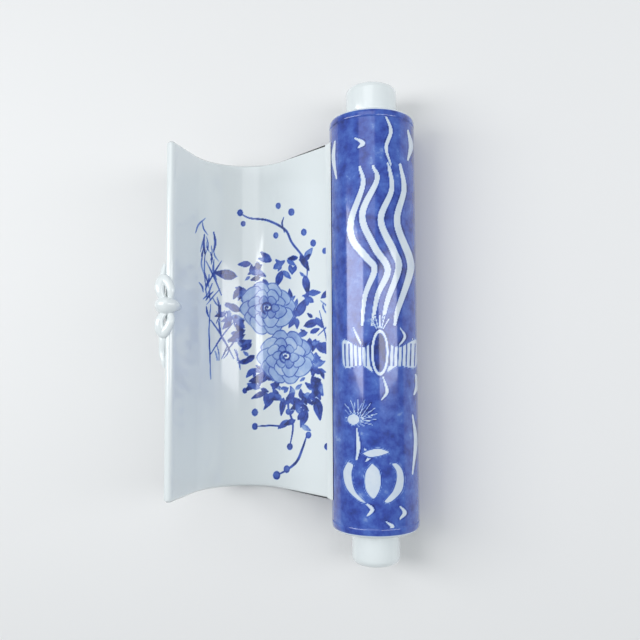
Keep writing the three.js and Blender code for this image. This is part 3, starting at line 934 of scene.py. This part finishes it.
# Softboxes, in metres: name, place, width and height, power as a share of the key's
SOFTBOXES = (
    ("key_softbox", (-0.55, 0.10, 0.75), (0.30, 0.80), 1.0),
    ("side_softbox", (0.70, 0.05, 0.60), (0.25, 0.80), 0.6),
    ("top_fill", (0.0, 0.5, 1.2), (0.9, 0.9), 0.7),
)
AIM = Vector((0, 0, 0.02))


def make_floor(grey):
    """A plain pale floor on the desk plane."""
    mesh = bpy.data.meshes.new("floor")
    corners = [(-1, -1), (1, -1), (1, 1), (-1, 1)]
    mesh.from_pydata([(x * FLOOR_HALF, y * FLOOR_HALF, 0) for x, y in corners], [], [(0, 1, 2, 3)])
    paper = bpy.data.materials.new("pale_floor")
    paper.use_nodes = True
    shader = paper.node_tree.nodes["Principled BSDF"]
    shader.inputs["Base Color"].default_value = (grey, grey, grey, 1)
    shader.inputs["Roughness"].default_value = 0.85
    mesh.materials.append(paper)
    floor = bpy.data.objects.new("floor", mesh)
    bpy.context.scene.collection.objects.link(floor)
    return floor


def make_softbox(name, where, size, watts):
    """A rectangular lamp turned to the object."""
    lamp = bpy.data.lights.new(name, "AREA")
    lamp.shape = "RECTANGLE"
    lamp.size, lamp.size_y = size
    lamp.energy = watts
    rig = bpy.data.objects.new(name, lamp)
    rig.location = where
    rig.rotation_euler = (AIM - Vector(where)).to_track_quat("-Z", "Y").to_euler()
    bpy.context.scene.collection.objects.link(rig)
    return rig


def make_camera():
    """The camera at the reading height that the painting is drawn for."""
    camera = bpy.data.objects.new("camera", bpy.data.cameras.new("camera"))
    camera.data.lens = LENS_MM
    camera.data.sensor_width = SENSOR_MM
    camera.data.clip_start = 0.01
    bpy.context.scene.collection.objects.link(camera)
    spin = Matrix([turned_to_row(axis) for axis in eye_axes()]).transposed().to_4x4()
    camera.matrix_world = Matrix.Translation(Vector(to_row(EYE)[0])) @ spin
    bpy.context.scene.camera = camera
    return camera


def build_stage(floor_grey, key_watts):
    """The floor, two tall softboxes that draw the long highlights, a fill, a pale sky and the camera."""
    made = [make_floor(floor_grey)]
    for name, where, size, share in SOFTBOXES:
        made.append(make_softbox(name, where, size, key_watts * share))
    world = bpy.data.worlds.new("studio")
    world.use_nodes = True
    world.node_tree.nodes["Background"].inputs["Color"].default_value = SKY_COLOUR
    world.node_tree.nodes["Background"].inputs["Strength"].default_value = SKY_STRENGTH
    bpy.context.scene.world = world
    bpy.context.scene.view_settings.view_transform = "Standard"
    made.append(make_camera())
    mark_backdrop(*made)


class ScrollRestSettings(bpy.types.PropertyGroup):
    """Sizes, colours and light that a user would change."""

    ribbon_flatness: bpy.props.FloatProperty(
        name="Ribbon flatness",
        description="Thickness of the tie's ribbons as a share of their width",
        default=0.72,
        min=0.1,
        max=1,
    )
    glaze_white: bpy.props.FloatVectorProperty(
        name="Glaze white",
        description="Colour of the bare glaze over the clay",
        subtype="COLOR",
        size=3,
        default=(0.78, 0.83, 0.84),
        min=0,
        max=1,
    )
    cobalt_deep: bpy.props.FloatVectorProperty(
        name="Deep cobalt",
        description="Colour of the thickest cobalt under the glaze",
        subtype="COLOR",
        size=3,
        default=(0.010, 0.022, 0.15),
        min=0,
        max=1,
    )
    glaze_roughness: bpy.props.FloatProperty(
        name="Glaze roughness", description="Roughness of the fired glaze", default=0.16, min=0, max=1
    )
    floor_grey: bpy.props.FloatProperty(
        name="Floor grey", description="Lightness of the floor", default=0.80, min=0, max=1
    )
    key_watts: bpy.props.FloatProperty(
        name="Key power", description="Power of the main softbox", default=4.2, min=0, unit="POWER"
    )


class SCROLLREST_OT_sheet(bpy.types.Operator):
    """Build the painted sheet"""

    bl_idname = "scroll_rest.sheet"
    bl_label = "Build painted sheet"

    def execute(self, context):
        build_sheet()
        return {"FINISHED"}


class SCROLLREST_OT_roll(bpy.types.Operator):
    """Build the painted roll"""

    bl_idname = "scroll_rest.roll"
    bl_label = "Build painted roll"

    def execute(self, context):
        build_roll()
        return {"FINISHED"}


class SCROLLREST_OT_ends(bpy.types.Operator):
    """Build the roll's end discs and knobs"""

    bl_idname = "scroll_rest.ends"
    bl_label = "Build ends and knobs"

    def execute(self, context):
        build_ends()
        return {"FINISHED"}


class SCROLLREST_OT_tie(bpy.types.Operator):
    """Build the moulded ribbon tie"""

    bl_idname = "scroll_rest.tie"
    bl_label = "Build ribbon tie"

    def execute(self, context):
        build_tie(context.scene.scroll_rest.ribbon_flatness)
        return {"FINISHED"}


class SCROLLREST_OT_glaze(bpy.types.Operator):
    """Give every shown piece the porcelain glaze"""

    bl_idname = "scroll_rest.glaze"
    bl_label = "Glaze all pieces"

    def execute(self, context):
        settings = context.scene.scroll_rest
        glaze = glaze_material(settings.glaze_white, settings.cobalt_deep, settings.glaze_roughness)
        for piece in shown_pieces():
            piece.data.materials.clear()
            piece.data.materials.append(glaze)
        return {"FINISHED"}


class SCROLLREST_OT_stage(bpy.types.Operator):
    """Set the floor, the lamps and the camera"""

    bl_idname = "scroll_rest.stage"
    bl_label = "Set the stage"

    def execute(self, context):
        settings = context.scene.scroll_rest
        build_stage(settings.floor_grey, settings.key_watts)
        return {"FINISHED"}


class SCROLLREST_PT_panel(bpy.types.Panel):
    """Lists the settings and the steps in the sidebar"""

    bl_label = "Porcelain Scroll Rest"
    bl_idname = "SCROLLREST_PT_panel"
    bl_space_type = "VIEW_3D"
    bl_region_type = "UI"
    bl_category = "Scroll Rest"

    def draw(self, context):
        settings = context.scene.scroll_rest
        for name in SHOWN_SETTINGS:
            self.layout.prop(settings, name)
        for name in STEPS:
            self.layout.operator("scroll_rest." + name)


SHOWN_SETTINGS = (
    "ribbon_flatness", "glaze_white", "cobalt_deep", "glaze_roughness", "floor_grey", "key_watts",
)
STEPS = ("sheet", "roll", "ends", "tie", "glaze", "stage")
CLASSES = (
    ScrollRestSettings,
    SCROLLREST_OT_sheet,
    SCROLLREST_OT_roll,
    SCROLLREST_OT_ends,
    SCROLLREST_OT_tie,
    SCROLLREST_OT_glaze,
    SCROLLREST_OT_stage,
    SCROLLREST_PT_panel,
)


def register():
    """Adds the settings, operators and panel."""
    for each in CLASSES:
        bpy.utils.register_class(each)
    bpy.types.Scene.scroll_rest = bpy.props.PointerProperty(type=ScrollRestSettings)


def unregister():
    """Takes them away again."""
    del bpy.types.Scene.scroll_rest
    for each in reversed(CLASSES):
        bpy.utils.unregister_class(each)


def main():
    """Builds every piece in order."""
    register()
    bpy.ops.scroll_rest.sheet()
    bpy.ops.scroll_rest.roll()
    bpy.ops.scroll_rest.ends()
    bpy.ops.scroll_rest.tie()
    bpy.ops.scroll_rest.glaze()
    bpy.ops.scroll_rest.stage()


if __name__ == "__main__":
    main()
